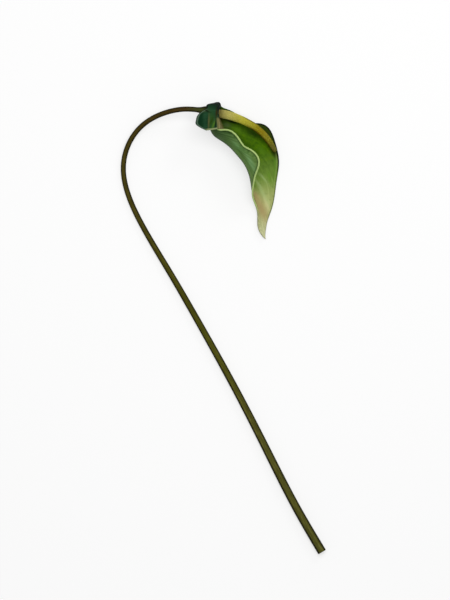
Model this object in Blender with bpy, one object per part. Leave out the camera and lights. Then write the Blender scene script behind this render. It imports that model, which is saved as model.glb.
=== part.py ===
"""A calla lily cut with its long stem, lying on a flat surface.

The flower lies in the XY plane with Z as the height over the surface. The cut end points down
and to the right, the stem bends over at the top left, and the bloom hangs inside the crook.
Sizes are in millimetres and angles in degrees here; they become metres and radians where a
mesh is made.
"""

import math

import bmesh
import bpy
import numpy as np

MM = 0.001
CENTRE = (0.23, -0.18)  # of the whole outline in the XY plane, which becomes the origin
GAP = 0.35  # between neighbouring pieces

# Stem: its centre line in the XY plane, from the cut end to the seat of the bloom.
STEM_LINE = (
    (99.2, -224.2),
    (74.6, -182.0),
    (43.7, -121.9),
    (12.9, -61.9),
    (-20.2, -1.8),
    (-54.7, 58.1),
    (-81.0, 103.0),
    (-94.7, 133.1),
    (-99.7, 160.0),
    (-94.4, 183.8),
    (-79.6, 203.5),
    (-59.8, 214.5),
    (-38.0, 218.8),
    (-16.0, 216.8),
)
STEM_STEP = 7.5  # between the rings of the stem
STEM_SIDES = 14  # with a flat side down, which the stem lies on
CUT_RADIUS = 4.45
CROOK_RADIUS = 2.6
NECK_RADIUS = 2.6
CROOK_AT = 427.5  # along the stem from the cut, where it starts to rise off the surface
CUT_BEVEL = 0.5
SEAT_HEIGHT = 24.0  # of the stem's centre where it carries the bloom
SHOULDER_RADIUS = 4.75
SHOULDER_LENGTH = 13.0
BOSS_RADIUS = 2.4
BOSS_LENGTH = 2.2

# Spathe: one sheet rolled into a horn. Each section of the horn is a circle with its centre,
# height, radius and the direction that it faces, listed by the distance from the seat.
SECTIONS = (
    # distance, x, y, height, radius, facing
    (0.0, -16.0, 216.8, 24.0, 4.7, -10.0),
    (17.0, -4.2, 206.9, 22.8, 14.2, -25.0),
    (30.0, 7.4, 202.5, 20.9, 17.6, -30.0),
    (44.0, 20.5, 196.0, 19.8, 20.5, -36.0),
    (68.0, 40.0, 176.5, 22.2, 22.8, -65.0),
    (90.0, 46.0, 155.4, 20.3, 19.7, -75.0),
    (107.0, 46.6, 139.0, 18.4, 17.6, -80.0),
    (128.0, 43.7, 117.4, 12.4, 11.3, -80.0),
    (144.0, 40.0, 102.0, 7.2, 5.4, -75.0),
    (156.0, 42.8, 90.0, 5.0, 1.2, -66.0),
)
# The rim, from the inner end of the roll over the tip to its outer end. The position is how far
# round the rim, with the tip at 0. The vein there leaves the seat at one angle and reaches the
# hinge at another, then turns outwards: the turn is an angle, and the lip the sheet's length
# past the hinge.
RIM = (
    # position, hinge distance, hinge angle, seat angle, lip, turn
    (-1.00, 20.0, -297.0, -266.0, 20.8, 146.0),
    (-0.98, 17.6, -284.0, -255.0, 27.2, 148.0),
    (-0.95, 14.6, -266.0, -240.0, 30.5, 150.0),
    (-0.91, 12.0, -246.0, -222.0, 27.8, 152.0),
    (-0.85, 10.5, -216.0, -196.0, 17.0, 166.0),
    (-0.79, 11.0, -190.0, -170.0, 10.5, 182.0),
    (-0.76, 13.5, -175.0, -155.0, 4.5, 140.0),
    (-0.72, 20.0, -155.0, -134.0, 1.5, 70.0),
    (-0.67, 30.0, -132.0, -112.0, 1.5, 30.0),
    (-0.60, 43.0, -114.0, -92.0, 1.5, 25.0),
    (-0.54, 54.0, -124.0, -78.0, 7.6, 45.0),
    (-0.47, 66.0, -118.0, -68.0, 4.5, 40.0),
    (-0.38, 82.0, -112.0, -58.0, 4.0, 25.0),
    (-0.28, 100.0, -104.0, -50.0, 2.8, 15.0),
    (-0.18, 120.0, -100.0, -42.0, 2.8, 10.0),
    (-0.09, 139.0, -100.0, -32.0, 3.2, 10.0),
    (-0.04, 148.0, -92.0, -26.0, 4.2, 12.0),
    (0.00, 153.0, -70.0, -21.0, 4.0, 14.0),
    (0.09, 139.0, -42.0, -12.0, 1.5, 10.0),
    (0.18, 120.0, -28.0, -3.0, 2.0, 12.0),
    (0.27, 102.0, 16.0, 9.0, 3.0, 18.0),
    (0.36, 86.0, 38.0, 16.0, 5.0, 26.0),
    (0.44, 72.0, 60.0, 20.0, 6.6, 34.0),
    (0.52, 58.0, 52.0, 25.0, 6.0, 34.0),
    (0.61, 44.0, 57.0, 35.0, 5.0, 26.0),
    (0.70, 31.0, 64.0, 46.0, 4.0, 22.0),
    (0.76, 23.0, 58.0, 50.0, 2.0, 12.0),
    (0.81, 17.0, 60.0, 58.0, 1.0, 0.0),
    (0.90, 11.0, 88.0, 84.0, 1.0, 0.0),
    (1.00, 10.0, 120.0, 116.0, 1.0, 0.0),
)
VEIN_SWING = 2.0  # power by which a vein leaves the angle it has at the seat
TIP_SHARE = 0.08  # of the rim on each side, where the lip follows the veins to a point
NOTCH_AT = -0.899  # on the rim, where the turned lip leaves room for the stem
NOTCH_DEPTH = 7.5
NOTCH_WIDTH = 0.0155
SHEET = 1.0  # thickness
ROLL_PITCH = 1.8  # by which the roll grows in one turn, so that its layers stay apart
BEND_LENGTH = 9.0  # of the lip, over which it takes its turn
CURL_RADIUS = 32.0  # of the rest of a long lip
COLLAR_END = -0.75  # on the rim, where its turned collar ends
COLLAR_COLUMNS = 22
OPEN_COLUMNS = 70
HORN_ROWS = 13
LIP_ROWS = 9
LIP_CROWDING = 1.5  # power that draws the lip's rows towards the hinge

# Spadix: its centre line and radius from the seat to the tip.
SPADIX_LINE = (
    # x, y, height, radius
    (-13.4, 216.4, 24.0, 2.4),
    (-4.0, 214.6, 23.2, 3.9),
    (6.0, 212.5, 22.4, 4.3),
    (17.6, 208.5, 21.0, 3.9),
    (33.6, 200.2, 17.6, 3.6),
    (44.9, 190.0, 14.6, 3.2),
    (52.6, 177.4, 12.5, 2.6),
)
SPADIX_SIDES = 20
SPADIX_RINGS = 58
FLORET_RELIEF = 0.22  # height of the florets over and under the mean surface

COLOURS = {
    # node: linear red, green, blue, then roughness
    "stem": (0.078, 0.077, 0.016, 0.5),
    "spathe": (0.098, 0.225, 0.035, 0.45),
    "spadix": (0.42, 0.36, 0.045, 0.6),
}


def natural_spline(knots, values):
    """A curve of continuous curvature through the values at the knots, as a function."""
    knots = np.asarray(knots, float)
    values = np.asarray(values, float)
    spans = np.diff(knots)
    slopes = np.diff(values, axis=0) / spans[:, None]
    system = np.eye(len(knots))
    change = np.zeros_like(values)
    for i in range(1, len(knots) - 1):
        system[i, i - 1 : i + 2] = spans[i - 1], 2 * (spans[i - 1] + spans[i]), spans[i]
        change[i] = 6 * (slopes[i] - slopes[i - 1])
    bend = np.linalg.solve(system, change)

    def at(x):
        x = np.asarray(x, float)
        i = np.clip(np.searchsorted(knots, x) - 1, 0, len(spans) - 1)
        span = spans[i][..., None]
        b = (x[..., None] - knots[i][..., None]) / span
        a = 1 - b
        straight = a * values[i] + b * values[i + 1]
        return straight + ((a**3 - a) * bend[i] + (b**3 - b) * bend[i + 1]) * span**2 / 6

    return at


def even_spline(points):
    """A spline through points, by distance along them, and its whole length."""
    points = np.asarray(points, float)
    along = np.append(0.0, np.cumsum(np.linalg.norm(np.diff(points[:, :2], axis=0), axis=1)))
    return natural_spline(along, points), along[-1]


def smoothstep(x):
    x = np.clip(x, 0.0, 1.0)
    return x * x * (3 - 2 * x)


def normalised(vectors):
    return vectors / np.linalg.norm(vectors, axis=-1, keepdims=True)


def material(name):
    *rgb, roughness = COLOURS[name]
    made = bpy.data.materials.new(name)
    made.use_nodes = True
    shader = made.node_tree.nodes["Principled BSDF"]
    shader.inputs["Base Color"].default_value = (*rgb, 1.0)
    shader.inputs["Roughness"].default_value = roughness
    shader.inputs["Metallic"].default_value = 0.0
    return made


def place(name, data):
    """An object that holds the data, with the flower's outline centred on the origin."""
    data.materials.append(material(name))
    made = bpy.data.objects.new(name, data)
    made.location = (-CENTRE[0] * MM, -CENTRE[1] * MM, 0.0)
    bpy.context.collection.objects.link(made)
    return made


def add_mesh(name, points, faces):
    """A mesh object from points in millimetres, smooth but for its sharp edges."""
    mesh = bpy.data.meshes.new(name)
    mesh.from_pydata((np.asarray(points) * MM).tolist(), [], faces)
    shaped = bmesh.new()
    shaped.from_mesh(mesh)
    bmesh.ops.recalc_face_normals(shaped, faces=shaped.faces)
    shaped.to_mesh(mesh)
    shaped.free()
    mesh.shade_smooth()
    mesh.set_sharp_from_angle(angle=math.radians(50))
    return place(name, mesh)


def stem_radius(along, length):
    """The stem's radius at distances from the cut: a slow taper, then the shoulder."""
    taper = np.interp(along, (0.0, CROOK_AT, length), (CUT_RADIUS, CROOK_RADIUS, NECK_RADIUS))
    swell = smoothstep((along - length + SHOULDER_LENGTH) / SHOULDER_LENGTH)
    return taper + (SHOULDER_RADIUS - NECK_RADIUS) * swell**2


def make_stem():
    """A round curve with the cut at one end, and the shoulder and boss at the other."""
    line, length = even_spline(STEM_LINE)
    seat_end = length - GAP
    shoulder_start = length - SHOULDER_LENGTH
    along = np.concatenate((
        (0.0, CUT_BEVEL),
        np.linspace(STEM_STEP, shoulder_start, round(shoulder_start / STEM_STEP)),
        np.linspace(shoulder_start, seat_end, 7)[1:],
    ))
    radius = stem_radius(along, length)
    low = radius * math.cos(math.pi / STEM_SIDES)
    height = low + (SEAT_HEIGHT - low) * smoothstep((along - CROOK_AT) / (length - CROOK_AT))
    radius[0] -= CUT_BEVEL
    centres = np.column_stack((line(along), height))
    forward = normalised(line(length) - line(length - 1))
    boss = [
        np.append(line(length) + forward * (x - GAP), SEAT_HEIGHT) for x in (0.01, BOSS_LENGTH)
    ]
    centres = np.vstack((centres, boss))
    radius = np.append(radius, (BOSS_RADIUS, BOSS_RADIUS))

    curve = bpy.data.curves.new("stem", "CURVE")
    curve.dimensions = "3D"
    curve.twist_mode = "Z_UP"
    curve.bevel_depth = MM
    curve.bevel_resolution = STEM_SIDES // 2 - 2
    curve.use_fill_caps = True
    spline = curve.splines.new("POLY")
    spline.points.add(len(centres) - 1)
    for point, centre, size in zip(spline.points, centres, radius):
        point.co = (*(centre * MM), 1.0)
        point.radius = size
    return place("stem", curve)


def horn(distance, angle):
    """Points of the horn before its rim is turned, for distances and unrolled angles."""
    sections = np.asarray(SECTIONS)
    x, y, height, radius, facing = np.moveaxis(
        natural_spline(sections[:, 0], sections[:, 1:])(distance), -1, 0
    )
    facing = np.radians(facing)
    turn = np.radians(angle)
    grown = radius + ROLL_PITCH * angle / 360
    across = grown * np.cos(turn)
    return np.stack(
        (
            x + across * np.sin(facing),
            y - across * np.cos(facing),
            height + grown * np.sin(turn),
        ),
        axis=-1,
    )


def horn_normal(distance, angle):
    """The horn's outward normals at the same places."""
    step = 0.01
    onward = horn(distance + step, angle) - horn(distance - step, angle)
    round_it = horn(distance, angle + step) - horn(distance, angle - step)
    return normalised(np.cross(onward, round_it))


def spathe_middle(position, horn_rows, lip_rows):
    """The sheet's middle surface and its normals, in rows from the seat to the rim."""
    rim = np.asarray(RIM)
    hinge, hinge_angle, seat_angle, lip, turn = np.moveaxis(
        natural_spline(rim[:, 0], rim[:, 1:])(position), -1, 0
    )
    lip = lip - NOTCH_DEPTH * np.exp(-(((position - NOTCH_AT) / NOTCH_WIDTH) ** 2))
    turn = np.radians(np.maximum(turn, 0.1))

    points = []
    normals = []
    for share in np.linspace(0.0, 1.0, horn_rows):
        angle = seat_angle + share**VEIN_SWING * (hinge_angle - seat_angle)
        points.append(horn(share * hinge, angle))
        normals.append(horn_normal(share * hinge, angle))

    edge = points[-1]
    outward = normals[-1]
    onward = normalised(edge - points[-2])
    across_rim = normalised(np.cross(np.gradient(edge, axis=0), outward))
    pointed = np.exp(-((position / TIP_SHARE) ** 2))[:, None]
    ahead = normalised(across_rim + pointed * (onward - across_rim))
    bend_length = np.minimum(BEND_LENGTH, lip)

    def lean(travel):
        bend = turn * np.minimum(travel / bend_length, 1.0)
        curl = np.maximum(travel - bend_length, 0.0) / CURL_RADIUS
        return (bend + curl)[:, None]

    travelled = 0.0 * lip
    for share in np.linspace(0.0, 1.0, lip_rows + 1)[1:] ** LIP_CROWDING:
        travel = share * lip
        middle = lean((travelled + travel) / 2)
        step = (travel - travelled)[:, None]
        points.append(points[-1] + step * (ahead * np.cos(middle) + outward * np.sin(middle)))
        normals.append(outward * np.cos(lean(travel)) - ahead * np.sin(lean(travel)))
        travelled = travel
    return np.stack(points), np.stack(normals)


def make_spathe():
    """The sheet given its thickness, and closed along the rim, the seat and the roll's ends."""
    collar = np.linspace(RIM[0][0], COLLAR_END, COLLAR_COLUMNS, endpoint=False)
    rest = np.linspace(COLLAR_END, RIM[-1][0], OPEN_COLUMNS)
    middle, normal = spathe_middle(np.append(collar, rest), HORN_ROWS, LIP_ROWS)
    rows, columns = middle.shape[:2]
    facing = math.radians(SECTIONS[0][-1])
    axis = np.array((math.cos(facing), math.sin(facing), 0.0))
    normal[0] = normalised(normal[0] - (normal[0] @ axis)[:, None] * axis)
    skins = np.stack((middle + normal * SHEET / 2, middle - normal * SHEET / 2))
    skins[..., 2] += np.maximum(-skins[..., 2].min(axis=0), 0.0)

    faces = []
    inner = rows * columns
    for row in range(rows - 1):
        for column in range(columns - 1):
            a = row * columns + column
            b, c, d = a + 1, a + columns + 1, a + columns
            faces += [(a, b, c), (a, c, d)]
            faces += [(a + inner, c + inner, b + inner), (a + inner, d + inner, c + inner)]
    index = np.arange(rows * columns).reshape(rows, columns)
    border = [*index[0], *index[1:, -1], *index[-1, -2::-1], *index[-2:0:-1, 0]]
    for a, b in zip(border, border[1:] + border[:1]):
        faces += [(b, a, a + inner), (b, a + inner, b + inner)]
    return add_mesh("spathe", skins.reshape(-1, 3), [tuple(map(int, face)) for face in faces])


def make_spadix():
    """A tapering finger with a blunt round tip, its skin raised in staggered florets."""
    table = np.asarray(SPADIX_LINE)
    line, length = even_spline(table)
    tip_radius = table[-1, 3]
    along = np.linspace(0.0, length, SPADIX_RINGS)
    values = line(along)
    centres = values[:, :3]
    radius = values[:, 3]
    ending = np.clip((along - (length - tip_radius)) / tip_radius, 0.0, 1.0)
    radius = radius * np.sqrt(1 - (0.97 * ending) ** 2)
    forward = normalised(np.gradient(centres, axis=0))
    side = normalised(np.cross(forward, (0.0, 0.0, 1.0)))
    up = np.cross(side, forward)
    turn = np.arange(SPADIX_SIDES) * 2 * math.pi / SPADIX_SIDES
    stagger = np.where((np.arange(SPADIX_RINGS)[:, None] + np.arange(SPADIX_SIDES)) % 2, 1.0, -1.0)
    calm = np.minimum(1.0, radius / tip_radius)[:, None]
    calm[0] = 0.0
    reach = radius[:, None] + FLORET_RELIEF * stagger * calm**2
    ring = (
        side[:, None, :] * np.cos(turn)[None, :, None] + up[:, None, :] * np.sin(turn)[None, :, None]
    )
    points = (centres[:, None, :] + reach[..., None] * ring).reshape(-1, 3)
    points = np.vstack((points, centres[0], centres[-1] + forward[-1] * tip_radius * 0.05))
    base, tip = len(points) - 2, len(points) - 1
    faces = []
    for i in range(SPADIX_RINGS - 1):
        for j in range(SPADIX_SIDES):
            k = (j + 1) % SPADIX_SIDES
            a, b = i * SPADIX_SIDES + j, i * SPADIX_SIDES + k
            c, d = b + SPADIX_SIDES, a + SPADIX_SIDES
            if stagger[i, j] < 0:
                faces += [(a, b, c), (a, c, d)]
            else:
                faces += [(a, b, d), (b, c, d)]
    last = (SPADIX_RINGS - 1) * SPADIX_SIDES
    for j in range(SPADIX_SIDES):
        k = (j + 1) % SPADIX_SIDES
        faces += [(k, j, base), (last + j, last + k, tip)]
    return add_mesh("spadix", points, faces)


def main():
    for old in list(bpy.data.objects):
        bpy.data.objects.remove(old)
    make_stem()
    make_spathe()
    make_spadix()


main()
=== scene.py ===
"""The finished look of a cut calla lily that lies on a pale table.

Lengths are millimetres and angles are degrees, as in the solids' own source, where a comment
says nothing else. They become metres where a mesh is made.
"""

import math

import bpy
import numpy as np
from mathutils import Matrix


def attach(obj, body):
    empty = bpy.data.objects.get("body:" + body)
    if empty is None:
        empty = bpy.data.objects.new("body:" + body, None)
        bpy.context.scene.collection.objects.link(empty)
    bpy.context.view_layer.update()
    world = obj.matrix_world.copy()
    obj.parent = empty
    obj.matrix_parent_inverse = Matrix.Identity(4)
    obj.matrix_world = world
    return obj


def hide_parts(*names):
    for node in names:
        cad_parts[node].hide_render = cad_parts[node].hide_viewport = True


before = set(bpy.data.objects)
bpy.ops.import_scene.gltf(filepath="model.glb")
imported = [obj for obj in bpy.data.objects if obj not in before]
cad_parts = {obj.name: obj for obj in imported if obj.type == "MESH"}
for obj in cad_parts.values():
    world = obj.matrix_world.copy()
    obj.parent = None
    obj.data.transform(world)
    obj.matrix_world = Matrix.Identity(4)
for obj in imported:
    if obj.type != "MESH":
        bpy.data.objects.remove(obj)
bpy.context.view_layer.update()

MM = 0.001
CENTRE = (0.23, -0.18)  # of the whole outline in the XY plane, which becomes the origin

# The stem's centre line from the cut to the seat of the bloom, as in the solids.
STEM_LINE = (
    (99.2, -224.2),
    (74.6, -182.0),
    (43.7, -121.9),
    (12.9, -61.9),
    (-20.2, -1.8),
    (-54.7, 58.1),
    (-81.0, 103.0),
    (-94.7, 133.1),
    (-99.7, 160.0),
    (-94.4, 183.8),
    (-79.6, 203.5),
    (-59.8, 214.5),
    (-38.0, 218.8),
    (-16.0, 216.8),
)
CUT_RADIUS = 4.45
CROOK_RADIUS = 2.6
NECK_RADIUS = 2.6
CROOK_AT = 427.5  # along the stem, where it starts to rise off the table
FLAT_SHARE = math.cos(math.pi / 14)  # of its radius, at which the stem's underside is flat
SEAT_HEIGHT = 24.0
SHOULDER_RADIUS = 5.05
SHOULDER_LENGTH = 13.0
SHOULDER_RINGS = 14
SEAT_OVERLAP = 0.15  # of the stem's end into the spathe's seat
RINGS_FROM = 2.0  # along the stem, past the cut's bevel
STEM_STEP = 1.6
CUT_BEVEL = 1.2
CUT_SHARES = (0.06, 0.3, 0.55, 0.75, 0.9)  # of its radius, at which the cut face has rings
CUT_DISH = 0.02
BEVEL_DEPTH = 0.5  # along the stem
BEVEL_ANGLES = (15, 30, 45, 60, 75, 90)
SKIN_MARK = 2.0  # what the skin's points carry in place of a share of the cut
CUT_LIMIT = 1.4  # of what points carry, under which a face belongs to the cut
TUBES_IN_A_METRE = 2200.0
STEM_SIDES = 64

# The spathe's horn: sections by the distance from the seat, as in the solids.
SECTIONS = (
    # distance, x, y, height, radius, facing
    (0.0, -16.0, 216.8, 24.0, 4.7, -10.0),
    (17.0, -4.2, 206.9, 22.8, 14.2, -25.0),
    (30.0, 7.4, 202.5, 20.9, 17.6, -30.0),
    (44.0, 20.5, 196.0, 19.8, 20.5, -36.0),
    (68.0, 40.0, 176.5, 22.2, 22.8, -65.0),
    (90.0, 46.0, 155.4, 20.3, 19.7, -75.0),
    (107.0, 46.6, 139.0, 18.4, 17.6, -80.0),
    (128.0, 43.7, 117.4, 12.4, 11.3, -80.0),
    (144.0, 40.0, 102.0, 7.2, 5.4, -75.0),
    (156.0, 42.8, 90.0, 5.0, 1.2, -66.0),
)
# The spathe's rim, from the inner end of the roll over the tip to its outer end.
RIM = (
    # position, hinge distance, hinge angle, seat angle, lip, turn
    (-1.00, 18.8, -297.0, -266.0, 20.0, 146.0),
    (-0.98, 16.6, -284.0, -255.0, 28.4, 148.0),
    (-0.95, 13.7, -266.0, -240.0, 30.0, 150.0),
    (-0.91, 10.9, -246.0, -222.0, 27.0, 152.0),
    (-0.85, 9.8, -216.0, -196.0, 14.4, 166.0),
    (-0.79, 10.7, -190.0, -170.0, 10.3, 182.0),
    (-0.76, 12.6, -175.0, -155.0, 3.6, 140.0),
    (-0.72, 20.0, -155.0, -134.0, 1.5, 70.0),
    (-0.67, 30.0, -132.0, -112.0, 1.5, 30.0),
    (-0.60, 43.0, -114.0, -92.0, 1.5, 25.0),
    (-0.54, 54.0, -124.0, -78.0, 7.3, 45.0),
    (-0.505, 60.0, -122.4, -72.4, 6.3, 45.0),
    (-0.47, 66.0, -118.0, -68.0, 4.9, 40.0),
    (-0.38, 82.0, -112.0, -58.0, 4.0, 25.0),
    (-0.28, 100.0, -104.0, -50.0, 2.8, 15.0),
    (-0.18, 120.0, -100.0, -42.0, 2.8, 10.0),
    (-0.09, 139.0, -100.0, -32.0, 3.2, 10.0),
    (-0.04, 148.0, -92.0, -26.0, 4.2, 12.0),
    (0.00, 153.0, -70.0, -21.0, 4.0, 14.0),
    (0.03, 151.4, -56.2, -17.7, 4.4, 13.4),
    (0.09, 139.0, -42.0, -12.0, 1.5, 10.0),
    (0.18, 120.0, -28.0, -3.0, 2.0, 12.0),
    (0.27, 102.0, 16.0, 9.0, 3.0, 18.0),
    (0.36, 86.0, 38.0, 16.0, 5.0, 26.0),
    (0.44, 72.0, 60.0, 20.0, 6.6, 34.0),
    (0.52, 58.0, 52.0, 25.0, 6.0, 34.0),
    (0.61, 44.0, 57.0, 35.0, 5.0, 26.0),
    (0.70, 31.0, 64.0, 46.0, 4.0, 22.0),
    (0.76, 23.0, 58.0, 50.0, 2.0, 12.0),
    (0.81, 17.0, 60.0, 58.0, 1.0, 0.0),
    (0.90, 11.0, 88.0, 84.0, 1.0, 0.0),
    (1.00, 10.0, 120.0, 116.0, 1.0, 0.0),
)
VEIN_SWING = 2.0  # power of the way to the hinge, by which a column turns to its angle
TIP_SHARE = 0.08  # of the rim's positions, round the tip, where the lip runs straight on
SPATHE_REACH = 156.0  # from the seat to the tip, along which its colours change
NORMAL_STEP = 0.01  # by which the horn's normals are measured
LEAST_TURN = 0.1  # of the lip, so that it has a bend
NOTCH_AT = -0.899  # on the rim, where the turned lip leaves room for the stem
NOTCH_DEPTH = 5.5
NOTCH_WIDTH = 0.0155
SHEET = 1.0
ROLL_PITCH = 1.8  # by which the horn's radius grows in one turn
BEND_LENGTH = 9.0  # of the lip, along which it turns
CURL_RADIUS = 32.0  # of the lip past that bend
LIP_CROWDING = 1.5  # power that draws the lip's rows to its hinge
COLLAR_END = -0.75  # on the rim, where its turned collar ends
COLLAR_COLUMNS = 90
OPEN_COLUMNS = 390
HORN_ROWS = 44
LIP_ROWS = 22
EDGE_STEPS = 6  # round the sheet's edge, from its outer to its inner face; an even number
STRIA_PITCH = 5.6  # of the fine dark lines on its outer skin
STRIA_WANDER = 4.0  # radians of that pitch, by which noise shifts them
MARGIN_BEAD = 0.22  # by which the margin is thicker on each face
MARGIN_WIDTH = 1.4
VEIN_PITCH = 3.1  # of the raised veins where the sheet is widest
VEIN_HEIGHT = 0.05

# The spadix's centre line and radius, as in the solids.
SPADIX_LINE = (
    # x, y, height, radius
    (-13.4, 216.4, 24.0, 2.4),
    (-4.0, 214.6, 23.2, 3.9),
    (6.0, 212.5, 22.4, 4.3),
    (17.6, 208.5, 21.0, 3.9),
    (33.3, 199.8, 17.6, 3.7),
    (44.2, 189.3, 14.6, 3.4),
    (52.6, 176.0, 12.5, 2.2),
)
TIP_ROUNDING = 0.97  # of its last radius, at which the tip is closed flat
CORE_SIDES = 40
FLORETS_ROUND = 20
FLORET_PITCH = 0.92
FLORET_SINK = 0.35
FLORET_WIDTH = 0.52
FLORET_HEIGHT = 0.7  # of its width
FLORET_SPREAD = (0.88, 1.12)  # of its size
FLORET_RADIUS = 3.4  # of the spadix, where a floret has its full width
FLORET_SEGMENTS = 8
FLORET_RINGS = 6
FLORET_SEED = 7
TONE_SEED = 3
SPADIX_SHADE = (0.45, 0.92)  # of its side away from the light and towards the throat, where olive shade is painted

PHOTO = (450, 600)  # pixels, at one millimetre each
PHOTO_MIDDLE = (2.0, 28.0, 0.0)  # the point of the plan at its centre
CAMERA_HEIGHT = 24.0  # metres
SCALE_HEIGHT = 0.012  # metres over the table, at which a pixel is a millimetre
SENSOR = 24.0

SHADE_SIDE = (-0.5, -0.87)  # in the plan, away from the light

TABLE_WIDTH = 8.0  # metres
TABLE_DROP = -0.0003  # metres, under the flower
TABLE_GLOW = 0.62
TABLE_PAINT = (0.38, 0.38, 0.38, 1.0)
WHITE = (1.0, 1.0, 1.0, 1.0)
SKY_LIGHT = 0.35
LAMP_AIM = (0.0, 0.1, 0.0)  # metres
LAMPS = (
    # name, place and size in metres, power in watts
    ("overhead", (0.12, 0.45, 2.0), 1.3, 26.0),
    ("corner", (0.9, 1.3, 1.1), 0.5, 3.0),
)


def natural_spline(knots, values):
    """A curve of continuous curvature through the values at the knots, as a function."""
    knots = np.asarray(knots, float)
    values = np.asarray(values, float)
    spans = np.diff(knots)
    slopes = np.diff(values, axis=0) / spans[:, None]
    system = np.eye(len(knots))
    change = np.zeros_like(values)
    for i in range(1, len(knots) - 1):
        system[i, i - 1 : i + 2] = spans[i - 1], 2 * (spans[i - 1] + spans[i]), spans[i]
        change[i] = 6 * (slopes[i] - slopes[i - 1])
    bend = np.linalg.solve(system, change)

    def at(x):
        x = np.asarray(x, float)
        i = np.clip(np.searchsorted(knots, x) - 1, 0, len(spans) - 1)
        span = spans[i][..., None]
        b = (x[..., None] - knots[i][..., None]) / span
        a = 1 - b
        straight = a * values[i] + b * values[i + 1]
        return straight + ((a**3 - a) * bend[i] + (b**3 - b) * bend[i + 1]) * span**2 / 6

    return at


def even_spline(points):
    """A spline through points, by distance along them, and its whole length."""
    points = np.asarray(points, float)
    along = np.append(0.0, np.cumsum(np.linalg.norm(np.diff(points[:, :2], axis=0), axis=1)))
    return natural_spline(along, points), along[-1]


def smoothstep(x):
    x = np.clip(x, 0.0, 1.0)
    return x * x * (3 - 2 * x)


def normalised(vectors):
    return vectors / np.linalg.norm(vectors, axis=-1, keepdims=True)


def placed(points):
    """Table points in millimetres as places in the scene in metres."""
    return (np.asarray(points) - (*CENTRE, 0.0)) * MM


def tint(red, green, blue):
    """A colour as a screen shows it, from 0 to 255, as the linear colour that a node takes."""
    screen = np.array((red, green, blue)) / 255
    linear = np.where(screen <= 0.04045, screen / 12.92, ((screen + 0.055) / 1.055) ** 2.4)
    return (*linear.tolist(), 1.0)


class Value:
    """A node's output, on which Python's operators add Math nodes."""

    def __init__(self, tree, socket):
        self.tree = tree
        self.socket = socket

    def math(self, operation, first, second=0.0):
        return self.tree.node("ShaderNodeMath", {"operation": operation}, [first, second])

    def __add__(self, other):
        return self.math("ADD", self, other)

    def __radd__(self, other):
        return self.math("ADD", other, self)

    def __sub__(self, other):
        return self.math("SUBTRACT", self, other)

    def __rsub__(self, other):
        return self.math("SUBTRACT", other, self)

    def __mul__(self, other):
        return self.math("MULTIPLY", self, other)

    def __rmul__(self, other):
        return self.math("MULTIPLY", other, self)

    def __truediv__(self, other):
        return self.math("DIVIDE", self, other)

    def __rtruediv__(self, other):
        return self.math("DIVIDE", other, self)

    def __pow__(self, other):
        return self.math("POWER", self, other)

    def sine(self):
        return self.math("SINE", self)

    def rise(self, low, high):
        """From 0 at low to 1 at high, smoothly; it falls where high is the smaller."""
        if high < low:
            return 1 - self.rise(high, low)
        return self.tree.node(
            "ShaderNodeMapRange",
            {"interpolation_type": "SMOOTHSTEP"},
            {"Value": self, "From Min": low, "From Max": high},
        )

    def fall(self):
        """1 at 0, and falling away above it."""
        return self.math("EXPONENT", 0.0 - self)

    def hill(self, middle, width):
        """1 at the middle, and falling away on both sides of it."""
        off = (self - middle) / width
        return (off * off).fall()

    def absolute(self):
        return self.math("ABSOLUTE", self)

    def at_least(self, low):
        return self.math("MAXIMUM", self, low)

    def at_most(self, high):
        return self.math("MINIMUM", self, high)


class Tree:
    """A tree of nodes, built in order."""

    def __init__(self, nodes):
        self.graph = nodes

    def node(self, kind, settings=None, inputs=(), output=0):
        """Adds a node and returns one of its outputs. Inputs go by name, or by their order."""
        made = self.graph.nodes.new(kind)
        for name, value in (settings or {}).items():
            if name == "stops":
                self.set_stops(made.color_ramp, value)
            else:
                setattr(made, name, value)
        open_sockets = [socket for socket in made.inputs if socket.enabled]
        named = {socket.name: socket for socket in reversed(open_sockets)}
        if isinstance(inputs, dict):
            pairs = [(named[name], value) for name, value in inputs.items()]
        else:
            pairs = list(zip(open_sockets, inputs))
        for socket, value in pairs:
            self.feed(socket, value)
        outputs = [socket for socket in made.outputs if socket.enabled]
        if isinstance(output, str):
            return Value(self, next(socket for socket in outputs if socket.name == output))
        return Value(self, outputs[output])

    def split(self, vector):
        """A vector's x, y and z."""
        made = self.node("ShaderNodeSeparateXYZ", inputs=[vector]).socket.node
        return [Value(self, socket) for socket in made.outputs]

    def feed(self, socket, value):
        if isinstance(value, Value):
            self.graph.links.new(value.socket, socket)
        else:
            socket.default_value = value

    @staticmethod
    def set_stops(ramp, stops):
        while len(ramp.elements) < len(stops):
            ramp.elements.new(0.5)
        for element, (position, colour) in zip(ramp.elements, stops):
            element.position = position
            element.color = colour


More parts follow.
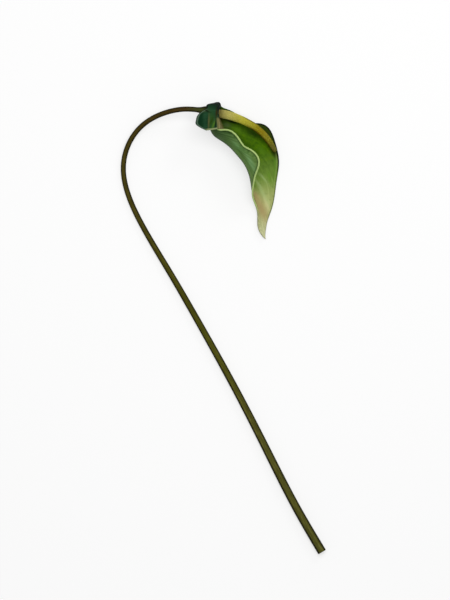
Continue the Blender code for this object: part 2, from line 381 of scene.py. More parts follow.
class Finish(Tree):
    """A material whose nodes feed one Principled shader."""

    def __init__(self, name, **uniform):
        self.material = bpy.data.materials.new(name)
        self.material.use_nodes = True
        super().__init__(self.material.node_tree)
        self.shader = self.graph.nodes["Principled BSDF"]
        for socket, value in uniform.items():
            self.shader.inputs[socket.replace("_", " ")].default_value = value

    def set(self, name, value):
        self.feed(self.shader.inputs[name], value)

    def value(self, name):
        """A number that the piece carries on its points."""
        return self.node("ShaderNodeAttribute", {"attribute_name": name}, output="Fac")

    def vector(self, name):
        return self.node("ShaderNodeAttribute", {"attribute_name": name}, output="Vector")

    def dye(self, share, colour, red, green, blue):
        """Multiplies a colour, where the share is 1."""
        return self.mix(share, colour, (red, green, blue, 1.0), "MULTIPLY")

    def mix(self, share, first, second, blend="MIX"):
        return self.node(
            "ShaderNodeMix",
            {"data_type": "RGBA", "blend_type": blend},
            {"Factor": share, "A": first, "B": second},
        )

    def ramp(self, share, stops):
        return self.node("ShaderNodeValToRGB", {"stops": stops}, {"Fac": share})

    def join(self, x, y, z=0.0):
        return self.node("ShaderNodeCombineXYZ", inputs=[x, y, z])

    def noise(self, vector, detail, roughness=0.5):
        """Noise whose largest grain is about one unit of the vector."""
        return self.node(
            "ShaderNodeTexNoise",
            inputs={"Vector": vector, "Scale": 1.0, "Detail": detail, "Roughness": roughness},
        )

    def plan(self):
        """Where a point is in the tables' plan, in millimetres: x, y and its height."""
        x, y, z = self.split(self.node("ShaderNodeTexCoord", output="Object"))
        return x / MM + CENTRE[0], y / MM + CENTRE[1], z / MM

    def patch(self, plan, middle, slant, length, width):
        """1 at a point of the plan, falling away along a slant and across it."""
        turn = math.radians(slant)
        x = plan[0] - middle[0]
        y = plan[1] - middle[1]
        along = (x * math.cos(turn) + y * math.sin(turn)) / length
        across = (y * math.cos(turn) - x * math.sin(turn)) / width
        return (along * along + across * across).fall()

    def daub(self, colour, plan, marks, mask=1.0):
        """Lays soft marks of other colours over a colour."""
        for middle, slant, length, width, share, other in marks:
            spread = self.patch(plan, middle, slant, length, width)
            colour = self.mix(spread * mask * share, colour, tint(*PALETTE[other]))
        return colour

    def bump(self, height, depth, strength):
        """Tilts the light on the skin as a relief of some depth in millimetres would."""
        made = self.node(
            "ShaderNodeBump",
            inputs={"Height": height, "Distance": depth * MM, "Strength": strength},
        )
        self.set("Normal", made)


class Shape(Tree):
    """A geometry tree with named inputs, which works on one piece and gives it its material."""

    def __init__(self, name, **inputs):
        super().__init__(bpy.data.node_groups.new(name, "GeometryNodeTree"))
        face = self.graph.interface
        face.new_socket("Geometry", in_out="INPUT", socket_type="NodeSocketGeometry")
        self.values = inputs
        for label, value in inputs.items():
            kind = {int: "Int", float: "Float"}.get(type(value), "Material")
            face.new_socket(label, in_out="INPUT", socket_type="NodeSocket" + kind)
        face.new_socket("Geometry", in_out="OUTPUT", socket_type="NodeSocketGeometry")
        self.given = self.graph.nodes.new("NodeGroupInput")
        self.result = self.graph.nodes.new("NodeGroupOutput")

    def input(self, name):
        return Value(self, self.given.outputs[name])

    def value(self, name):
        """A number that the line carries on its points."""
        return self.node(
            "GeometryNodeInputNamedAttribute", {"data_type": "FLOAT"}, {"Name": name}
        )

    def store(self, geometry, name, value, kind="FLOAT", domain="POINT"):
        return self.node(
            "GeometryNodeStoreNamedAttribute",
            {"data_type": kind, "domain": domain},
            {"Geometry": geometry, "Name": name, "Value": value},
        )

    def store_facing(self, geometry):
        """Keeps how far the skin looks up, and how far it looks to the photograph's lower left."""
        x, y, z = self.split(self.node("GeometryNodeInputNormal"))
        geometry = self.store(geometry, "up", z)
        return self.store(geometry, "shade", x * SHADE_SIDE[0] + y * SHADE_SIDE[1])

    def clear_table(self, geometry):
        """Lifts what would lie under the table's top up to it."""
        x, y, z = self.split(self.node("GeometryNodeInputPosition"))
        raised = self.node("ShaderNodeCombineXYZ", inputs=[x, y, z.at_least(0.0)])
        return self.node(
            "GeometryNodeSetPosition", inputs={"Geometry": geometry, "Position": raised}
        )

    def finish(self, geometry, *others):
        """Ends the tree. Others are pairs of the faces with another material and that material."""
        real = self.node("GeometryNodeRealizeInstances", inputs={"Geometry": geometry})
        made = self.node("GeometryNodeSetShadeSmooth", inputs={"Geometry": real})
        for faces, material in ((True, self.input("Material")), *others):
            made = self.node(
                "GeometryNodeSetMaterial",
                inputs={"Geometry": made, "Selection": faces, "Material": material},
            )
        self.feed(self.result.inputs["Geometry"], made)

    def make(self, name, line):
        """Runs the tree on a line and returns what it makes as a plain mesh object."""
        modifier = line.modifiers.new(self.graph.name, "NODES")
        modifier.node_group = self.graph
        for item in self.graph.interface.items_tree:
            if item.in_out == "INPUT" and item.name in self.values:
                modifier[item.identifier] = self.values[item.name]
        graph = bpy.context.evaluated_depsgraph_get()
        mesh = bpy.data.meshes.new_from_object(
            line.evaluated_get(graph), preserve_all_data_layers=True, depsgraph=graph
        )
        bpy.data.objects.remove(line)
        mesh.name = name
        return add_object(name, mesh)


def add_object(name, mesh):
    made = bpy.data.objects.new(name, mesh)
    bpy.context.scene.collection.objects.link(made)
    return made


def carry(mesh, values):
    """Gives a mesh numbers on its points, by name."""
    for name, numbers in values.items():
        layer = mesh.attributes.new(name, "FLOAT", "POINT")
        layer.data.foreach_set("value", np.asarray(numbers, np.float32).ravel())


def add_line(points, values):
    """A bare line through points in metres, which carries numbers for a tree to read."""
    mesh = bpy.data.meshes.new("line")
    edges = [(i, i + 1) for i in range(len(points) - 1)]
    mesh.from_pydata(points.tolist(), edges, [])
    carry(mesh, values)
    return add_object("line", mesh)


def settle(piece, node):
    """The piece stands for the solid, which is hidden, and hangs from the root body."""
    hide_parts(node)
    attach(piece, "root")


# Stem


def stem_finish():
    """Olive skin with fine stripes along it, which turns brown towards the bloom."""
    made = Finish("stem_skin", Roughness=0.5, Specular_IOR_Level=0.04)
    along = made.value("along")
    side, rise, _ = made.split(made.vector("round"))
    colour = made.ramp(
        along,
        (
            (0.00, tint(80, 80, 30)),
            (0.25, tint(80, 78, 28)),
            (0.45, tint(72, 72, 12)),
            (0.80, tint(70, 62, 16)),
            (0.96, tint(60, 45, 15)),
            (1.00, tint(65, 78, 35)),
        ),
    )
    stripes = made.noise(made.join(side * 5.0, rise * 5.0, along * 9.0), 3.0, 0.65)
    fine = made.noise(made.join(side * 16.0, rise * 16.0, along * 40.0), 2.0)
    colour = made.dye(stripes.rise(0.52, 0.70) * 0.8, colour, 1.6, 1.6, 2.2)
    colour = made.dye(stripes.rise(0.48, 0.34) * 0.7, colour, 0.72, 0.70, 0.6)
    colour = made.dye(fine.rise(0.45, 0.7) * 0.35, colour, 0.75, 0.74, 0.7)
    tone = made.noise(made.join(side, rise, along * 14.0), 2.0)
    colour = made.dye(tone.rise(0.42, 0.60) * 0.5, colour, 0.84, 0.84, 0.7)
    grain = made.noise(made.join(side * 3.0, rise * 3.0, along * 64.0), 2.0, 0.6)
    colour = made.dye(grain.rise(0.52, 0.66) * 0.8, colour, 1.5, 1.48, 1.9)
    colour = made.dye(grain.rise(0.47, 0.36) * 0.7, colour, 0.66, 0.64, 0.5)
    # painted highlight: a lighter streak along one side of the stem, near the cut and along its
    # straight part
    left = side.hill(-0.28, 0.22) * along.rise(0.07, 0.11) * along.rise(0.50, 0.42)
    right = side.hill(0.26, 0.22) * along.rise(0.11, 0.08)
    colour = made.dye((left + right) * 0.6, colour, 1.4, 1.38, 1.5)
    up = made.value("up")
    # painted shade: a dark line along one edge of the straight stem and along the inside of its
    # crook
    outer = side.rise(-0.45, -0.8) * along.rise(0.62, 0.55)
    inner = side.rise(0.3, 0.75) * along.rise(0.60, 0.68)
    edges = (outer + inner) * 0.85 * up.rise(0.1, 0.5)
    colour = made.mix(edges, colour, tint(24, 21, 3))
    # painted shade on the stem's sides, which face away from the lamp overhead; it eases off where
    # they face down
    sides = up.rise(0.88, 0.64) * (0.25 + 0.75 * up.rise(0.2, 0.55))
    colour = made.mix(sides, colour, tint(26, 25, 5))
    made.set("Base Color", colour)
    made.set("Roughness", 0.42 + 0.2 * stripes)
    made.bump(fine, 0.12, 0.5)
    return made.material


def cut_finish():
    """The pale wet pith of the cut, with its fine tubes, inside a ring of green skin."""
    made = Finish("stem_cut", Roughness=0.35, Specular_IOR_Level=0.4)
    inside = made.value("cut")
    place = made.node("ShaderNodeTexCoord", output="Object")
    tubes = made.node(
        "ShaderNodeTexVoronoi",
        inputs={"Vector": place, "Scale": TUBES_IN_A_METRE},
        output="Distance",
    )
    colour = made.mix(inside.rise(0.72, 0.92), tint(158, 166, 104), tint(92, 100, 40))
    colour = made.mix(tubes.rise(0.32, 0.18) * 0.6, colour, tint(112, 118, 60))
    made.set("Base Color", colour)
    made.bump(tubes, 0.2, 0.8)
    return made.material


def make_stem():
    line, length = even_spline(STEM_LINE)
    end = length + SEAT_OVERLAP
    cut_share = np.array(CUT_SHARES)
    bevel = np.radians(BEVEL_ANGLES)
    along = np.concatenate((
        CUT_DISH * cut_share,
        CUT_DISH + BEVEL_DEPTH * (1 - np.cos(bevel)),
        np.arange(RINGS_FROM, end - SHOULDER_LENGTH, STEM_STEP),
        np.linspace(end - SHOULDER_LENGTH, end, SHOULDER_RINGS),
    ))
    taper = np.interp(along, (0.0, CROOK_AT, length), (CUT_RADIUS, CROOK_RADIUS, NECK_RADIUS))
    swell = smoothstep((along - length + SHOULDER_LENGTH) / SHOULDER_LENGTH)
    radius = taper + (SHOULDER_RADIUS - NECK_RADIUS) * swell**2
    low = radius * FLAT_SHARE
    height = low + (SEAT_HEIGHT - low) * smoothstep((along - CROOK_AT) / (length - CROOK_AT))
    face = len(cut_share)
    radius[:face] = (CUT_RADIUS - CUT_BEVEL) * cut_share
    radius[face : face + len(bevel)] = CUT_RADIUS - CUT_BEVEL + CUT_BEVEL * np.sin(bevel)
    inside = np.full_like(along, SKIN_MARK)
    inside[:face] = cut_share
    points = placed(np.column_stack((line(along), height)))
    values = {"along": along / length, "thick": radius * MM, "cut": inside}

    shape = Shape("swept_stem", Sides=STEM_SIDES, Material=stem_finish(), Cut=cut_finish())
    path = shape.node("GeometryNodeMeshToCurve", inputs=[shape.input("Geometry")])
    path = shape.node("GeometryNodeSetCurveNormal", {"mode": "Z_UP"}, [path])
    ring = shape.node(
        "GeometryNodeCurvePrimitiveCircle",
        inputs={"Resolution": shape.input("Sides"), "Radius": 1.0},
    )
    where = shape.node("GeometryNodeInputPosition")
    ring = shape.store(ring, "round", where, "FLOAT_VECTOR")
    tube = shape.node(
        "GeometryNodeCurveToMesh",
        inputs={
            "Curve": path,
            "Profile Curve": ring,
            "Scale": shape.value("thick"),
            "Fill Caps": True,
        },
    )
    tube = shape.store_facing(tube)
    tube = shape.clear_table(tube)
    faces_cut = shape.node(
        "FunctionNodeCompare",
        {"data_type": "FLOAT", "operation": "LESS_THAN"},
        {"A": shape.value("cut"), "B": CUT_LIMIT},
    )
    shape.finish(tube, (faces_cut, shape.input("Cut")))
    return shape.make("stem_stalk", add_line(points, values))


# Spathe


def horn(distance, angle):
    """Points of the horn before its rim is turned, for distances and unrolled angles."""
    sections = np.asarray(SECTIONS)
    x, y, height, radius, facing = np.moveaxis(
        natural_spline(sections[:, 0], sections[:, 1:])(distance), -1, 0
    )
    facing = np.radians(facing)
    turn = np.radians(angle)
    grown = radius + ROLL_PITCH * angle / 360
    across = grown * np.cos(turn)
    return np.stack(
        (
            x + across * np.sin(facing),
            y - across * np.cos(facing),
            height + grown * np.sin(turn),
        ),
        axis=-1,
    )


def horn_normal(distance, angle):
    step = NORMAL_STEP
    onward = horn(distance + step, angle) - horn(distance - step, angle)
    round_it = horn(distance, angle + step) - horn(distance, angle - step)
    return normalised(np.cross(onward, round_it))


def spathe_middle(position):
    """The sheet's middle surface in rows from the seat to the rim, and what it carries."""
    rim = np.asarray(RIM)
    hinge, hinge_angle, seat_angle, lip, turn = np.moveaxis(
        natural_spline(rim[:, 0], rim[:, 1:])(position), -1, 0
    )
    lip = lip - NOTCH_DEPTH * np.exp(-(((position - NOTCH_AT) / NOTCH_WIDTH) ** 2)) - SHEET / 2
    turn = np.radians(np.maximum(turn, LEAST_TURN))

    points = []
    normals = []
    reach = []
    for share in np.linspace(0.0, 1.0, HORN_ROWS):
        angle = seat_angle + share**VEIN_SWING * (hinge_angle - seat_angle)
        points.append(horn(share * hinge, angle))
        normals.append(horn_normal(share * hinge, angle))
        reach.append(share * hinge)

    edge = points[-1]
    outward = normals[-1]
    onward = normalised(edge - points[-2])
    across_rim = normalised(np.cross(np.gradient(edge, axis=0), outward))
    pointed = np.exp(-((position / TIP_SHARE) ** 2))[:, None]
    ahead = normalised(across_rim + pointed * (onward - across_rim))
    bend_length = np.minimum(BEND_LENGTH, lip)

    def lean(travel):
        bend = turn * np.minimum(travel / bend_length, 1.0)
        curl = np.maximum(travel - bend_length, 0.0) / CURL_RADIUS
        return (bend + curl)[:, None]

    travelled = 0.0 * lip
    for share in np.linspace(0.0, 1.0, LIP_ROWS + 1)[1:] ** LIP_CROWDING:
        travel = share * lip
        middle = lean((travelled + travel) / 2)
        step = (travel - travelled)[:, None]
        points.append(points[-1] + step * (ahead * np.cos(middle) + outward * np.sin(middle)))
        normals.append(outward * np.cos(lean(travel)) - ahead * np.sin(lean(travel)))
        reach.append(hinge + travel)
        travelled = travel
    last = lean(travelled)
    brim = ahead * np.cos(last) + outward * np.sin(last)
    return np.stack(points), np.stack(normals), np.stack(reach), brim


def sheet_faces(around, across):
    """Faces over a grid of points that runs round the sheet, and those that close its two ends.

    The grid's last row joins its first, at the seat.
    """
    index = np.arange(around * across).reshape(around, across)
    onward = np.roll(index, -1, axis=0)
    sides = np.stack((index[:, :-1], index[:, 1:], onward[:, 1:], onward[:, :-1]), axis=-1)
    faces = sides.reshape(-1, 4).tolist()
    for end, corners in ((index[:, 0], [0, 1, 2, 3]), (index[:, -1], [3, 2, 1, 0])):
        outer = end[: around // 2]
        inner = end[::-1][: around // 2]
        caps = np.stack((outer[:-1], outer[1:], inner[1:], inner[:-1]), axis=-1)
        faces += caps[:, corners].tolist()
    return faces


def make_spathe():
    collar = np.linspace(RIM[0][0], COLLAR_END, COLLAR_COLUMNS, endpoint=False)
    position = np.append(collar, np.linspace(COLLAR_END, RIM[-1][0], OPEN_COLUMNS))
    middle, normal, reach, brim = spathe_middle(position)
    facing = math.radians(SECTIONS[0][-1])
    axis = np.array((math.cos(facing), math.sin(facing), 0.0))
    normal[0] = normalised(normal[0] - (normal[0] @ axis)[:, None] * axis)

    hinge_row = middle[HORN_ROWS - 1]
    steps = np.linalg.norm(np.diff(hinge_row, axis=0), axis=1)
    vein = np.append(0.0, np.cumsum(steps))
    spread = np.linalg.norm(np.gradient(middle, axis=1), axis=2)
    spread = spread / np.gradient(vein)[None, :]
    relief = VEIN_HEIGHT * np.cos(2 * math.pi * vein / VEIN_PITCH) * np.clip(spread, 0.0, 1.0)

    bead = MARGIN_BEAD * np.exp(-(((reach[-1] - reach) / MARGIN_WIDTH) ** 2))
    outer = middle + normal * (SHEET / 2 + relief + bead)[..., None]
    inner = middle - normal * (SHEET / 2 - relief + bead)[..., None]
    bend = np.linspace(math.pi / 2, -math.pi / 2, EDGE_STEPS + 2)[1:-1, None, None]
    rim_middle = middle[-1] + normal[-1] * relief[-1][:, None]
    half = SHEET / 2 + MARGIN_BEAD
    edge = rim_middle + normal[-1] * half * np.sin(bend) + brim * SHEET / 2 * np.cos(bend)
    skin = np.concatenate((outer, edge, inner[::-1]))
    lift = np.maximum(-skin[..., 2].min(axis=0), 0.0)
    skin[..., 2] += lift

    total = reach[-1] + SHEET / 2
    edge_shape = (EDGE_STEPS, len(position))
    edge_side = np.broadcast_to(np.linspace(0, 1, EDGE_STEPS + 2)[1:-1, None], edge_shape)
    side = np.concatenate((np.zeros(reach.shape), edge_side, np.ones(reach.shape)))
    edge_reach = np.broadcast_to(total, edge_shape)
    reach = np.concatenate((reach, edge_reach, reach[::-1]))
    edge_up = np.broadcast_to(normal[-1, :, 2], edge_shape)
    up = np.concatenate((normal[..., 2], edge_up, normal[::-1, :, 2]))

    mesh = bpy.data.meshes.new("spathe_sheet")
    mesh.from_pydata(placed(skin.reshape(-1, 3)).tolist(), [], sheet_faces(*skin.shape[:2]))
    mesh.shade_smooth()
    mesh.update()
    carry(
        mesh,
        {
            "inner": side,
            "reach": reach * MM,
            "margin": (total[None, :] - reach) * MM,
            "rim": np.broadcast_to(position, skin.shape[:2]),
            "vein": np.broadcast_to(vein * MM, skin.shape[:2]),
            "up": up,
        },
    )
    mesh.materials.append(spathe_finish())
    return add_object("spathe_sheet", mesh)


# The beige strip beside the collar, in the tables' plan.
STRIP_TOP = 213.0
STRIP_START = -5.4  # x of its middle, at the top
STRIP_SLANT = 0.24  # by which that moves to the right on the way down
STRIP_HALF = 1.2  # of its width, at the top
STRIP_SPREAD = 0.17  # by which that grows on the way down

# Colours of the spathe's and the spadix's marks.
PALETTE = {
    "cream": (205, 205, 146),
    "tan": (170, 153, 102),
    "pale green": (154, 178, 110),
    "sage": (122, 162, 104),
    "dusty green": (80, 100, 58),
    "lime": (94, 136, 28),
    "grass": (50, 84, 18),
    "deep green": (34, 60, 4),
    "pine": (12, 46, 26),
    "shadow": (10, 20, 4),
    "brown": (48, 38, 8),
    "olive": (94, 90, 52),
    "ochre": (150, 124, 14),
}
# Soft marks of the spathe's faces: middle in the tables' plan, slant, reach along it and across
# it, share of the colour, colour.
THROAT_MARKS = (
    # the belly's light and the shade that the spadix throws
    ((39.0, 176.5), -52.0, 5.0, 3.0, 0.65, "lime"),
    ((14.0, 198.5), -30.0, 7.0, 2.6, 0.60, "lime"),
    ((30.0, 195.0), -36.0, 9.0, 3.0, 0.85, "deep green"),
    ((47.0, 193.0), -60.0, 5.0, 1.6, 0.60, "deep green"),
    ((8.6, 206.4), -17.0, 9.0, 1.3, 0.95, "shadow"),
    # a dusty green patch beside the collar, and painted shade in the throat's hollow
    ((4.0, 203.0), -12.0, 3.6, 2.4, 0.80, "dusty green"),
    ((-3.0, 209.4), -30.0, 3.6, 1.8, 0.90, "brown"),
)
TIP_MARKS = (
    # long pale streaks, and the green between them
    ((40.6, 133.0), -62.0, 16.0, 1.6, 0.80, "pale green"),
    ((33.0, 157.0), -50.0, 5.5, 1.0, 0.85, "pale green"),
    ((40.5, 150.0), -54.0, 6.5, 1.0, 0.80, "pale green"),
    ((36.0, 143.5), -52.0, 5.5, 0.9, 0.80, "pale green"),
    ((31.6, 143.0), -64.0, 5.0, 2.2, 0.60, "lime"),
    ((46.8, 150.0), -78.0, 9.0, 1.9, 0.55, "lime"),
    # the dry tip
    ((45.5, 119.0), -70.0, 13.0, 2.2, 0.80, "cream"),
    ((38.2, 119.5), -64.0, 15.0, 5.0, 1.00, "tan"),
)
TAN_MARKS = (
    ((32.8, 131.5), -65.0, 5.0, 2.6, 0.85, "tan"),
)
OUTER_MARKS = (
    ((27.8, 165.0), -62.0, 11.0, 2.6, 0.90, "sage"),
    ((14.0, 182.0), -45.0, 6.0, 1.9, 0.80, "sage"),
    ((18.0, 174.5), -53.0, 9.0, 1.3, 0.50, "grass"),
)
COLLAR_MARKS = (
    # the collar's tone, and painted shade on its left side
    ((-11.5, 207.0), 90.0, 9.0, 3.0, 0.60, "grass"),
    ((-22.2, 210.0), 82.0, 7.0, 1.7, 0.80, "pine"),
    # upright bands: streaks with the painted light and shade of small folds, and painted shade of
    # the throat beside the spadix
    ((-14.2, 205.6), 88.0, 7.5, 0.8, 0.75, "olive"),
    ((-15.8, 207.0), 88.0, 6.0, 0.7, 0.70, "pine"),
    ((-11.4, 206.8), 66.0, 4.2, 1.2, 0.95, "deep green"),
    ((-9.3, 203.2), 68.0, 5.0, 1.0, 0.50, "lime"),
    ((-7.3, 204.5), 86.0, 6.0, 0.7, 0.95, "shadow"),
    ((-6.3, 215.5), 86.0, 5.0, 1.2, 0.95, "brown"),
    # the fold over the stem, with a painted shadow line along it
    ((-20.6, 217.6), 8.0, 4.0, 1.6, 0.80, "olive"),
    ((-17.0, 217.4), -27.0, 4.2, 0.8, 1.00, "shadow"),
)


def spathe_inside(made, plan, reach, margin, rim, streaks, broad):
    """Deep green in the throat, brighter along the open part, pale and tan at the tip."""
    colour = made.ramp(
        reach / SPATHE_REACH,
        (
            (0.00, tint(30, 45, 8)),
            (0.22, tint(64, 100, 8)),
            (0.43, tint(72, 112, 5)),
            (0.60, tint(118, 148, 62)),
            (0.78, tint(180, 186, 120)),
            (1.00, tint(205, 205, 160)),
        ),
    )
    blotch = made.noise(made.join(plan[0] * 0.30, plan[1] * 0.24, plan[2] * 0.2), 3.0, 0.6)
    lime = blotch.rise(0.50, 0.62) * reach.rise(84.0, 70.0) * 0.7
    colour = made.dye(lime, colour, 1.4, 1.25, 0.5)
    colour = made.dye(blotch.rise(0.47, 0.37) * 0.55, colour, 0.66, 0.72, 0.66)
    colour = made.dye(broad.rise(0.62, 0.38) * 0.3, colour, 0.6, 0.65, 0.55)
    colour = made.dye(streaks.rise(0.52, 0.66) * 0.5, colour, 1.35, 1.3, 1.5)
    colour = made.dye(streaks.rise(0.48, 0.36) * 0.4, colour, 0.74, 0.78, 0.7)
    # painted highlight: a brighter green band along the inside of the far margin
    far_highlight = rim.rise(-0.02, -0.12) * reach.rise(58.0, 70.0) * reach.rise(112.0, 96.0)
    colour = made.mix(far_highlight * margin.rise(7.0, 3.0) * 0.7, colour, tint(98, 142, 44))
    colour = made.daub(colour, plan, THROAT_MARKS)
    colour = made.daub(colour, plan, TIP_MARKS, reach.rise(84.0, 92.0))
    colour = made.daub(colour, plan, TAN_MARKS, plan[1].rise(138.2, 136.8))
    # painted shade: a dark band along the far lobe's margin
    corner = rim.rise(-0.62, -0.57) * rim.rise(-0.38, -0.43)
    colour = made.mix(corner * margin.rise(13.0, 3.0), colour, tint(46, 64, 10))
    # along the far edge: a painted highlight just inside it and painted shade on the edge itself
    far_edge = rim.rise(-0.45, -0.40) * rim.rise(-0.08, -0.14)
    colour = made.mix(far_edge * margin.hill(2.2, 0.7) * 0.35, colour, tint(150, 160, 96))
    return made.mix(far_edge * margin.rise(1.4, 0.7) * 0.8, colour, tint(78, 92, 34))


def collar_inside(made, plan, margin, rim, streaks):
    """The turned-back collar: blue green, with upright bands, a dim pale rim that is partly a
    painted highlight, and painted shade at its left and along its outline.
    """
    colour = made.mix(streaks.rise(0.4, 0.75), tint(26, 62, 38), tint(40, 76, 50))
    # painted shade, deepest towards the collar's left
    colour = made.mix(plan[0].rise(-18.0, -21.5) * 0.8, colour, tint(16, 50, 25))
    colour = made.daub(colour, plan, COLLAR_MARKS)
    left = plan[0].rise(-14.0, -20.0)
    # the pale rim on the left: the margin's pale edge, partly a painted highlight
    colour = made.mix(margin.hill(2.0, 0.75) * left * 0.8, colour, tint(96, 118, 100))
    # painted shade: a near-black outline along the left and top edges and where the collar turns
    # side-on
    up = made.value("up").absolute()
    top = plan[1].rise(216.0, 220.0)
    shaded_outline = margin.rise(1.2, 0.5) * left + margin.rise(2.2, 0.9) * top
    shaded_outline = shaded_outline + up.rise(0.7, 0.35) + up.rise(0.88, 0.68) * top * 0.7
    colour = made.mix(shaded_outline.at_most(1.0) * 0.95, colour, tint(8, 18, 12))
    slit = rim.rise(-0.992, -0.9965) * plan[0].rise(-20.0, -14.0)
    return made.mix(slit * 0.95, colour, tint(146, 156, 110))


def throat_strip(made, plan, colour):
    """The beige strip that widens downwards where the collar leaves the throat."""
    down = STRIP_TOP - plan[1]
    half = STRIP_HALF + down.at_least(0.0) * STRIP_SPREAD
    across = (plan[0] - STRIP_START - down * STRIP_SLANT) / half
    spread = across.absolute().rise(1.25, 0.75)
    strip = made.mix(plan[0].rise(-4.6, -3.2), tint(112, 108, 66), tint(150, 142, 96))
    strip = made.mix(across.rise(0.0, 1.0), strip, tint(94, 98, 46))
    return made.mix(spread * down.rise(1.5, 5.0) * down.rise(17.5, 15.5) * 0.95, colour, strip)


def spathe_finish():
    """Green inside, dusty blue green outside, with a pale margin and a cream tip."""
    made = Finish("spathe_skin", Roughness=0.5, Specular_IOR_Level=0.02)
    plan = made.plan()
    inner = made.value("inner").rise(0.35, 0.65)
    reach = made.value("reach") / MM
    margin = made.value("margin") / MM
    rim = made.value("rim")
    vein = made.value("vein") / MM

    fine = made.noise(made.join(vein * 0.9, reach * 0.035), 3.0, 0.6)
    streaks = made.noise(made.join(vein * 0.22, reach * 0.03), 3.0, 0.7)
    broad = made.noise(made.join(vein * 0.16, reach * 0.05), 3.0)
    inside = spathe_inside(made, plan, reach, margin, rim, streaks, broad)
    collar = collar_inside(made, plan, margin, rim, fine)
    inside = made.mix(rim.rise(-0.765, -0.79), inside, collar)
    inside = throat_strip(made, plan, inside)

    outside = made.ramp(
        reach / SPATHE_REACH,
        (
            (0.00, tint(75, 95, 48)),
            (0.14, tint(65, 88, 52)),
            (0.35, tint(95, 130, 64)),
            (0.60, tint(106, 134, 70)),
            (0.90, tint(190, 188, 136)),
        ),
    )
    outside = made.daub(outside, plan, OUTER_MARKS, rim.rise(0.1, 0.2))
    outside = made.dye(streaks.rise(0.48, 0.62) * 0.7, outside, 0.62, 0.72, 0.56)
    outside = made.dye(streaks.rise(0.47, 0.36) * 0.5, outside, 1.4, 1.3, 1.5)
    groove = (vein * (2 * math.pi / STRIA_PITCH) + STRIA_WANDER * broad).sine().rise(-0.1, 0.8)
    outside = made.dye(groove * 0.7, outside, 0.62, 0.70, 0.58)
    outside = made.mix(broad.rise(0.5, 0.7) * 0.25, outside, tint(120, 150, 100))
    up = made.value("up")
    # painted shade where the outer skin turns sideways and under
    outside = made.mix(up.rise(0.4, 0.05) * 0.7, outside, tint(38, 58, 36))
    # painted shade in the crease where the near margin turns outward, close to the seat
    fold_shade = margin.hill(3.0, 0.7) * rim.rise(0.62, 0.70)
    outside = made.mix(fold_shade * 0.8, outside, tint(34, 54, 28))

    colour = made.mix(inner, outside, inside)
    near = rim.rise(0.10, 0.20) * rim.rise(0.86, 0.80)
    # painted shade: a dark line just inside the near margin
    colour = made.mix(margin.hill(2.7, 0.8) * near * 0.6, colour, tint(36, 60, 8))
    edge = margin.rise(1.6, 0.9) * near
    colour = made.mix(edge, colour, tint(174, 198, 122))
    # painted shade: a near-black edge along the far lobe
    lobe_shade = rim.rise(-0.62, -0.57) * rim.rise(-0.30, -0.38)
    colour = made.mix(lobe_shade * margin.rise(1.9, 0.9) * 0.95, colour, tint(14, 20, 4))
    # painted shade: a greyer outline along the tip's edge
    tip = rim.rise(0.22, 0.12) * rim.rise(-0.16, -0.10) * margin.rise(0.9, 0.3)
    colour = made.mix(tip * 0.7, colour, tint(150, 148, 118))
    made.set("Base Color", colour)
    made.set("Roughness", 0.42 + 0.2 * broad)
    made.bump(streaks, 0.15, 0.6)
    return made.material


# Spadix


SPADIX_MARKS = (
    ((38.5, 196.0), -46.0, 6.5, 2.0, 0.75, "ochre"),
    ((50.5, 179.5), -60.0, 6.0, 2.6, 0.60, "olive"),
    # painted shade at its seat, where it leaves the collar
    ((-2.5, 214.5), 90.0, 4.5, 2.0, 0.50, "olive"),
)


def spadix_finish():
    """Small matt florets, cream at the seat, mustard yellow along it and olive at the tip."""
    made = Finish("spadix_florets", Roughness=0.6, Specular_IOR_Level=0.03)
    along = made.value("along")
    crown = made.value("crown")
    tone = made.value("tone")
    colour = made.ramp(
        along,
        (
            (0.12, tint(140, 130, 78)),
            (0.24, tint(204, 196, 112)),
            (0.42, tint(200, 195, 60)),
            (0.62, tint(158, 150, 20)),
            (1.00, tint(84, 86, 5)),
        ),
    )
    colour = made.mix(tone * 0.35, colour, tint(206, 198, 96))
    plan = made.plan()
    colour = made.daub(colour, plan, SPADIX_MARKS)
    shade = made.value("shade")
    # painted shade: olive on its side away from the light, beyond its middle
    under = shade.rise(*SPADIX_SHADE) * along.rise(0.45, 0.6)
    colour = made.mix(under, colour, tint(76, 68, 4))
    # painted shade: a dark line along its upper outline
    over = shade.rise(-0.7, -0.9) * along.rise(0.35, 0.5)
    colour = made.mix(over * 0.8, colour, tint(84, 74, 14))
    # painted shade at the florets' feet and on the core between them
    colour = made.mix(crown.rise(0.5, 0.0) * 0.6, colour, tint(110, 100, 18))
    made.set("Base Color", colour)
    return made.material


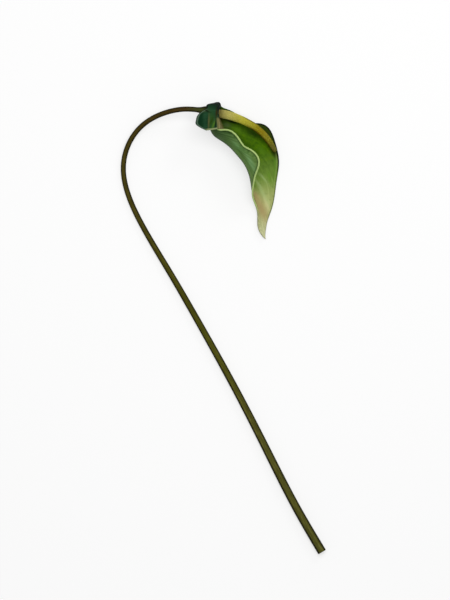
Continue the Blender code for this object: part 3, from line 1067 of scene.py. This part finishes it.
def make_spadix():
    table = np.asarray(SPADIX_LINE)
    line, length = even_spline(table)
    tip = table[-1, 3]
    rings = round(length / FLORET_PITCH)
    along = np.linspace(0.0, length, rings)
    values = line(along)
    ending = np.clip((along - (length - tip)) / tip, 0.0, 1.0)
    thick = values[:, 3] * np.sqrt(1 - (TIP_ROUNDING * ending) ** 2)
    points = placed(values[:, :3])
    carried = {"along": along / length, "thick": thick * MM}

    shape = Shape(
        "floret_spadix",
        Florets=FLORETS_ROUND,
        Sink=FLORET_SINK * MM,
        Floret=FLORET_WIDTH * MM,
        Seed=FLORET_SEED,
        Material=spadix_finish(),
    )
    path = shape.node("GeometryNodeMeshToCurve", inputs=[shape.input("Geometry")])
    path = shape.node("GeometryNodeSetCurveNormal", {"mode": "Z_UP"}, [path])
    order = shape.node("GeometryNodeInputIndex")
    odd = shape.node("ShaderNodeMath", {"operation": "MODULO"}, [order, 2.0])
    half_step = math.pi / shape.input("Florets")
    where = shape.node("GeometryNodeInputPosition")
    path = shape.node("GeometryNodeSetCurveTilt", inputs={"Curve": path, "Tilt": odd * half_step})
    ring = shape.node(
        "GeometryNodeCurvePrimitiveCircle",
        inputs={"Resolution": shape.input("Florets"), "Radius": 1.0},
    )
    thick = shape.value("thick")
    lattice = shape.node(
        "GeometryNodeCurveToMesh",
        inputs={"Curve": path, "Profile Curve": ring, "Scale": thick - shape.input("Sink")},
    )
    smooth_ring = shape.node(
        "GeometryNodeCurvePrimitiveCircle", inputs={"Resolution": CORE_SIDES, "Radius": 1.0}
    )
    core = shape.node(
        "GeometryNodeCurveToMesh",
        inputs={
            "Curve": path,
            "Profile Curve": smooth_ring,
            "Scale": thick - shape.input("Sink"),
            "Fill Caps": True,
        },
    )
    lattice = shape.store_facing(lattice)
    core = shape.store_facing(shape.store(core, "crown", 0.0))
    pebble = shape.node(
        "GeometryNodeMeshUVSphere",
        inputs={"Segments": FLORET_SEGMENTS, "Rings": FLORET_RINGS, "Radius": 1.0},
    )
    pebble = shape.store(pebble, "crown", shape.split(where)[2])
    normal = shape.node("GeometryNodeInputNormal")
    aim = shape.node("FunctionNodeAlignRotationToVector", {"axis": "Z"}, {"Vector": normal})
    chance = shape.node(
        "FunctionNodeRandomValue",
        {"data_type": "FLOAT"},
        {"Min": FLORET_SPREAD[0], "Max": FLORET_SPREAD[1], "Seed": shape.input("Seed")},
    )
    width = shape.input("Floret") * (thick / (FLORET_RADIUS * MM)) ** 0.5 * chance
    size = shape.node("ShaderNodeCombineXYZ", inputs=[width, width, width * FLORET_HEIGHT])
    florets = shape.node(
        "GeometryNodeInstanceOnPoints",
        inputs={"Points": lattice, "Instance": pebble, "Rotation": aim, "Scale": size},
    )
    tone = shape.node(
        "FunctionNodeRandomValue",
        {"data_type": "FLOAT"},
        {"Min": 0.0, "Max": 1.0, "Seed": TONE_SEED},
    )
    florets = shape.store(florets, "tone", tone, domain="INSTANCE")
    both = shape.node("GeometryNodeJoinGeometry")
    joined = both.socket.node
    for part in (core, florets):
        shape.graph.links.new(part.socket, joined.inputs["Geometry"])
    shape.finish(both)
    return shape.make("spadix_florets", add_line(points, carried))


# Stage


def make_stage():
    """A plain white table under a broad lamp overhead, a little to the upper right."""
    half = TABLE_WIDTH / 2
    corners = [(-half, -half), (half, -half), (half, half), (-half, half)]
    floor = bpy.data.meshes.new("table")
    floor.from_pydata([(x, y, TABLE_DROP) for x, y in corners], [], [(0, 1, 2, 3)])
    paint = Finish(
        "table_white", Roughness=0.9, Specular_IOR_Level=0.1, Emission_Strength=TABLE_GLOW
    )
    paint.set("Base Color", TABLE_PAINT)
    paint.set("Emission Color", WHITE)
    floor.materials.append(paint.material)
    add_object("table", floor)

    world = bpy.data.worlds.new("studio")
    world.use_nodes = True
    sky = world.node_tree.nodes["Background"]
    sky.inputs["Color"].default_value = WHITE
    sky.inputs["Strength"].default_value = SKY_LIGHT
    bpy.context.scene.world = world

    for name, place, size, power in LAMPS:
        lamp = bpy.data.lights.new(name, "AREA")
        lamp.size = size
        lamp.energy = power
        made = bpy.data.objects.new(name, lamp)
        made.location = place
        aim = np.array(LAMP_AIM) - np.array(place)
        made.rotation_euler = (
            math.atan2(math.hypot(aim[0], aim[1]), -aim[2]),
            0.0,
            math.atan2(aim[1], aim[0]) - math.pi / 2,
        )
        made.visible_camera = False
        bpy.context.scene.collection.objects.link(made)


def make_camera():
    """Looks straight down on the table from far off, with the photograph's top up."""
    lens = bpy.data.cameras.new("camera")
    lens.sensor_fit = "VERTICAL"
    lens.sensor_height = SENSOR
    lens.lens = SENSOR * (CAMERA_HEIGHT - SCALE_HEIGHT) / (PHOTO[1] * MM)
    made = bpy.data.objects.new("camera", lens)
    made.location = (*placed(PHOTO_MIDDLE)[:2], CAMERA_HEIGHT)
    bpy.context.scene.collection.objects.link(made)
    bpy.context.scene.camera = made


settle(make_stem(), "stem")
settle(make_spathe(), "spathe")
settle(make_spadix(), "spadix")
make_stage()
make_camera()
bpy.context.scene.view_settings.view_transform = "Standard"
